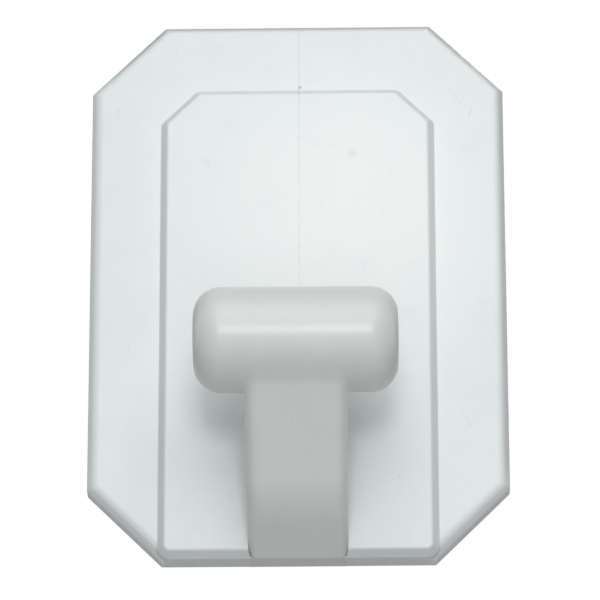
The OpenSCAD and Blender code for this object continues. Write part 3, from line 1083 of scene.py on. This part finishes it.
def hook_material(tint):
    """Smooth off-white plastic with a soft gloss and a faint parting line along the arm."""
    f = Finish("Soft gloss hook plastic", tint)
    skin = f.pattern("Moulded skin", 6.0, 0.9)
    wear = f.pattern("Handling wear", 1.5)
    parts = f.axes(f.vector)
    seam = f.times(f.fine_line(parts["X"], SEAM_PLACE, 0.06, 0.22), f.ramp(parts["Z"], -21.0, -23.0))
    f.base(skin["Tone"], (0.985, 0.99, 0.99), (1.015, 1.01, 1.01))
    f.stain(wear["Smudges"], 0.2, 0.965, 0.965, 0.95)
    f.stain(seam, 0.2, 1.12, 1.1, 1.12)
    rough = f.calc("ADD", f.scaled(skin["Grain"], 0.05, 0.27), f.times(wear["Smudges"], 0.05))
    return f.done(rough, f.calc("ADD", f.times(skin["Grain"], 0.3), f.times(seam, 0.25)), 0.012, 0.25)


def back_material(tint):
    """Plain moulded plastic of the back plate."""
    f = Finish("Plain back plastic", tint)
    skin = f.pattern("Moulded skin", 7.0, 0.3)
    f.base(skin["Tone"], (0.95, 0.96, 0.97), (1.03, 1.02, 1.01))
    f.stain(f.pattern("Handling wear", 0.4)["Smudges"], 0.3, 0.9, 0.9, 0.9)
    return f.done(f.scaled(skin["Grain"], 0.2, 0.45), skin["Grain"], 0.04, 0.5)


def foam_material(tint):
    """Closed-cell foam: small round cells with darker walls between them."""
    f = Finish("Closed-cell foam", tint)
    skin = f.pattern("Moulded skin", 3.0, 0.2)
    pits = f.ramp(f.cells(f.vector, 5.5, 0.95), 0.15, 0.6)
    f.base(pits, (0.72, 0.72, 0.7), (1.04, 1.04, 1.04))
    f.stain(skin["Tone"], 0.3, 0.93, 0.93, 0.9)
    return f.done(f.scaled(skin["Grain"], 0.15, 0.75), pits, 0.08, 0.9)


def film_material(tint):
    """Tacky acrylic layer with trapped bubbles and a wet edge."""
    f = Finish("Tacky acrylic film", tint)
    skin = f.pattern("Moulded skin", 4.0, 0.6)
    bubble = f.ramp(f.cells(f.vector, 1.1, 1.0), 0.12, 0.2, 1.0, 0.0)
    f.base(skin["Tone"], (0.94, 0.93, 0.88), (1.05, 1.05, 1.08))
    f.stain(bubble, 0.5, 1.15, 1.17, 1.3)
    return f.done(f.scaled(skin["Tone"], 0.15, 0.18), f.calc("ADD", bubble, skin["Grain"]), 0.02, 0.5)


def liner_material(tint):
    """Glazed release paper: short fibres in all directions under a thin gloss."""
    f = Finish("Glazed liner paper", tint)
    skin = f.pattern("Moulded skin", 5.0, 0.25)
    fibre = 0.0
    for turn, wide in ((0.3, 1.8), (1.4, 2.2), (2.5, 2.0)):
        strand = f.speckle(f.stretched(f.turned(f.vector, turn), (wide, wide, 0.35)), 1.6, 2.0)
        fibre = f.calc("MAXIMUM", f.ramp(strand, 0.56, 0.7), fibre)
    f.base(skin["Tone"], (0.96, 0.95, 0.93), (1.03, 1.03, 1.05))
    f.stain(fibre, 0.22, 0.84, 0.82, 0.76)
    return f.done(f.scaled(fibre, 0.12, 0.36), f.calc("ADD", f.times(fibre, 0.6), skin["Grain"]), 0.02, 0.5)


def floor_material(glow):
    """Pale matt floor."""
    f = Finish("Pale floor", (0.8, 0.8, 0.8))
    f.base(f.speckle(f.vector, 0.004, 3.0), (1.0, 1.0, 1.0), (1.05, 1.05, 1.05))
    f.link("Base Color", f.colour)
    f.shader.inputs["Roughness"].default_value = 0.8
    # The floor looks pale from behind too, but sends no extra light onto the part
    f.link("Emission Color", f.colour)
    f.link("Emission Strength", f.times(f.add("ShaderNodeLightPath")["Is Camera Ray"], glow))
    return f.material


class WALLHOOK_OT_cover_plate(bpy.types.Operator):
    """Makes the cover plate with its raised panel and its hollows"""

    bl_idname = "wall_hook.cover_plate"
    bl_label = "Cover Plate"

    def execute(self, context):
        s = context.scene.wall_hook_cover
        plate = cover_shell(s)
        for tool in cover_hollows(s, context.scene.wall_hook_hook):
            combine(plate, tool, "DIFFERENCE")
        finish_piece(plate, cover_material(s), "hook_body", "front_plate", 30)
        return {"FINISHED"}


# How far the hook's mesh may lie off its shape
MESH_ERROR = 0.25


class WALLHOOK_OT_hook(bpy.types.Operator):
    """Makes the arm with its barrel and the tongue behind the panel"""

    bl_idname = "wall_hook.hook"
    bl_label = "Hook"

    def execute(self, context):
        s = context.scene.wall_hook_hook
        bottom = -mm(context.scene.wall_hook_cover.height) / 2
        material = hook_material(s.tint)
        shape = HookShape(s, bottom)
        hook = hook_core(shape, material)
        remesh = hook.modifiers.new("Cells", "REMESH")
        remesh.mode = "VOXEL"
        remesh.voxel_size = mm(s.cell)
        bake_modifiers(hook)
        points = np.empty(len(hook.data.vertices) * 3)
        hook.data.vertices.foreach_get("co", points)
        points = shape.settle(points.reshape(-1, 3))
        worst = float(np.abs(shape.distance(points)).max())
        if worst > MESH_ERROR:
            raise RuntimeError(f"the hook's mesh is {worst:.2f} mm off its shape")
        hook.data.vertices.foreach_set("co", points.ravel())
        hook.data.update()
        # The foot is cut level with the bottom edge of the plate
        below = box_points(-CLEAR, bottom - CLEAR, CLEAR, bottom)
        combine(hook, prism("Below", below, -CLEAR, 2 * CLEAR), "DIFFERENCE")
        combine(hook, hook_tongue(s, bottom), "UNION")
        finish_piece(hook, material, "hook_body", "hook", 50)
        return {"FINISHED"}


class WALLHOOK_OT_back_plate(bpy.types.Operator):
    """Gives the back plate its finish"""

    bl_idname = "wall_hook.back_plate"
    bl_label = "Back Plate"

    def execute(self, context):
        dress(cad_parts["back_plate"], back_material(context.scene.wall_hook_pad.back_tint))
        return {"FINISHED"}


class WALLHOOK_OT_pad(bpy.types.Operator):
    """Makes the foam pad and its two adhesive layers"""

    bl_idname = "wall_hook.pad"
    bl_label = "Adhesive Pad"

    def execute(self, context):
        s = context.scene.wall_hook_pad
        sides = plate_sides(context.scene.wall_hook_cover, mm(s.inset))
        outline = SoftOutline(sides, mm(s.corner_radius))
        near = mm(-FOAM_HIGH.y)
        far = mm(-FOAM_LOW.y)
        foam = pad_layer("Foam_core", outline, near, far, mm(s.foam_bow), mm(s.foam_rough), 8, 3.0)
        finish_piece(foam, foam_material(s.foam_tint), "hook_body", "foam_pad", 50)
        film = film_material(s.film_tint)
        wall = pad_layer("Wall_film", outline, mm(-WALL_FILM_HIGH.y), near, 0.0, mm(s.film_rough), 2, 11.0)
        finish_piece(wall, film, "hook_body", "wall_adhesive", 50)
        rear = pad_layer("Plate_film", outline, far, mm(-PLATE_HIGH.y), 0.0, mm(s.film_rough), 2, 17.0)
        finish_piece(rear, film, "hook_body", "plate_adhesive", 50)
        return {"FINISHED"}


class WALLHOOK_OT_liner(bpy.types.Operator):
    """Gives both halves of the release liner their paper"""

    bl_idname = "wall_hook.liner"
    bl_label = "Release Liner"

    def execute(self, context):
        paper = liner_material(context.scene.wall_hook_pad.liner_tint)
        for node in ("liner_upper", "liner_lower"):
            dress(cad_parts[node], paper)
        return {"FINISHED"}


def direction(turn, lift):
    """A direction from the part, turned to the right of its front and lifted above the level."""
    return Vector((math.sin(turn) * math.cos(lift), -math.cos(turn) * math.cos(lift), math.sin(lift)))


def make_floor(s):
    """A wide floor below the part."""
    work = bmesh.new()
    bmesh.ops.create_grid(work, x_segments=8, y_segments=8, size=4.0)
    mesh = bpy.data.meshes.new("Floor")
    work.to_mesh(mesh)
    work.free()
    mesh.transform(Matrix.Translation((0.0, 0.0, -s.floor_drop)))
    floor = link_object("Floor", mesh)
    dress(floor, floor_material(s.floor_glow))


def make_room(s):
    """A room that is darker to the sides, and plain white where the camera sees it."""
    world = bpy.data.worlds.new("Studio")
    world.use_nodes = True
    n = Nodes(world.node_tree)
    room = n.tree.nodes["Background"]
    room.inputs["Color"].default_value = (0.97, 0.985, 1.0, 1.0)
    sideways = n.calc("ABSOLUTE", n.axes(n.add("ShaderNodeTexCoord")["Generated"])["X"])
    dimmed = n.ramp(sideways, 0.15, 0.8, s.ambient, s.ambient * (1 - s.side_dim))
    n.tree.links.new(dimmed, room.inputs["Strength"])
    white = n.add("ShaderNodeBackground", {"Color": (*WHITE, 1.0), "Strength": 1.0})["Background"]
    seen = n.add("ShaderNodeLightPath")["Is Camera Ray"]
    mixed = n.add("ShaderNodeMixShader", {0: seen, 1: room.outputs["Background"], 2: white})["Shader"]
    n.tree.links.new(mixed, n.tree.nodes["World Output"].inputs["Surface"])
    bpy.context.scene.world = world


def place_light(name, turn, lift, distance, size, watts, tint=WHITE):
    """A square soft light that faces the part."""
    lamp = bpy.data.lights.new(name, "AREA")
    lamp.size = size
    lamp.energy = watts
    lamp.color = tint
    light = link_object(name, lamp)
    light.visible_camera = False
    towards = direction(turn, lift)
    light.location = towards * distance
    light.rotation_mode = "QUATERNION"
    light.rotation_quaternion = towards.to_track_quat("Z", "Y")


# Colour of the key light, and turn and lift in radians of the fill lights behind and beside the part
KEY_TINT = (0.965, 1.0, 1.0)
BACK_TURN = math.pi * 0.9
BACK_LIFT = 0.5
SIDE_TURN = 1.9
SIDE_LIFT = 0.25


def make_lights(s):
    """The soft lights around the part."""
    far = s.light_distance
    place_light("Key", s.key_turn, s.key_lift, far, s.key_size, s.key_power, KEY_TINT)
    place_light("Top", s.top_turn, s.top_lift, s.top_distance, s.top_size, s.top_power)
    place_light("Low", 0.0, s.low_lift, far, s.low_size, s.low_power)
    place_light("Back", BACK_TURN, BACK_LIFT, far, s.low_size, s.back_power)
    for name, turn in (("Left", -SIDE_TURN), ("Right", SIDE_TURN)):
        place_light(name, turn, SIDE_LIFT, far, s.low_size, s.side_power)


# The point the camera looks at, in metres
CAMERA_AIM = (0.0002, 0.0, -0.00013)


def make_camera(s):
    """The camera, below the part and looking up at it."""
    lens = bpy.data.cameras.new("Camera")
    lens.sensor_width = 36.0
    lens.lens = s.camera_lens
    lens.clip_start = 0.01
    lens.clip_end = 50.0
    camera = link_object("Camera", lens)
    back = direction(s.camera_turn, -s.camera_tilt)
    camera.location = Vector(CAMERA_AIM) + back * s.camera_distance
    camera.rotation_mode = "QUATERNION"
    roll = Quaternion((0.0, 0.0, 1.0), s.camera_roll)
    camera.rotation_quaternion = (-back).to_track_quat("-Z", "Y") @ roll
    return camera


class WALLHOOK_OT_stage(bpy.types.Operator):
    """Sets up the floor, the light and the camera"""

    bl_idname = "wall_hook.stage"
    bl_label = "Stage"

    def execute(self, context):
        s = context.scene.wall_hook_stage
        make_floor(s)
        make_room(s)
        make_lights(s)
        context.scene.view_settings.view_transform = "Standard"
        context.scene.view_settings.look = "None"
        context.scene.camera = make_camera(s)
        return {"FINISHED"}


class WALLHOOK_PT_panel(bpy.types.Panel):
    """Lists the steps that build the hook and their settings"""

    bl_idname = "WALLHOOK_PT_panel"
    bl_label = "Wall Hook"
    bl_space_type = "VIEW_3D"
    bl_region_type = "UI"
    bl_category = "Wall Hook"

    def draw(self, context):
        for step in STEPS:
            self.layout.operator(step.bl_idname)
        for name, kind in SETTINGS:
            box = self.layout.box()
            box.label(text=kind.__doc__)
            for prop in kind.__annotations__:
                box.prop(getattr(context.scene, name), prop)


SETTINGS = (
    ("wall_hook_cover", CoverPlateSettings),
    ("wall_hook_hook", HookSettings),
    ("wall_hook_pad", PadSettings),
    ("wall_hook_stage", StageSettings),
)
STEPS = (
    WALLHOOK_OT_cover_plate,
    WALLHOOK_OT_hook,
    WALLHOOK_OT_back_plate,
    WALLHOOK_OT_pad,
    WALLHOOK_OT_liner,
    WALLHOOK_OT_stage,
)


def register():
    """Registers the settings, the steps and the panel."""
    for name, kind in SETTINGS:
        bpy.utils.register_class(kind)
        setattr(bpy.types.Scene, name, PointerProperty(type=kind))
    for kind in (*STEPS, WALLHOOK_PT_panel):
        bpy.utils.register_class(kind)


def unregister():
    """Removes what register added."""
    for kind in (WALLHOOK_PT_panel, *reversed(STEPS)):
        bpy.utils.unregister_class(kind)
    for name, kind in reversed(SETTINGS):
        delattr(bpy.types.Scene, name)
        bpy.utils.unregister_class(kind)


def main():
    """Builds the looks in order."""
    register()
    bpy.ops.wall_hook.cover_plate()
    bpy.ops.wall_hook.hook()
    bpy.ops.wall_hook.back_plate()
    bpy.ops.wall_hook.pad()
    bpy.ops.wall_hook.liner()
    bpy.ops.wall_hook.stage()


if __name__ == "__main__":
    main()
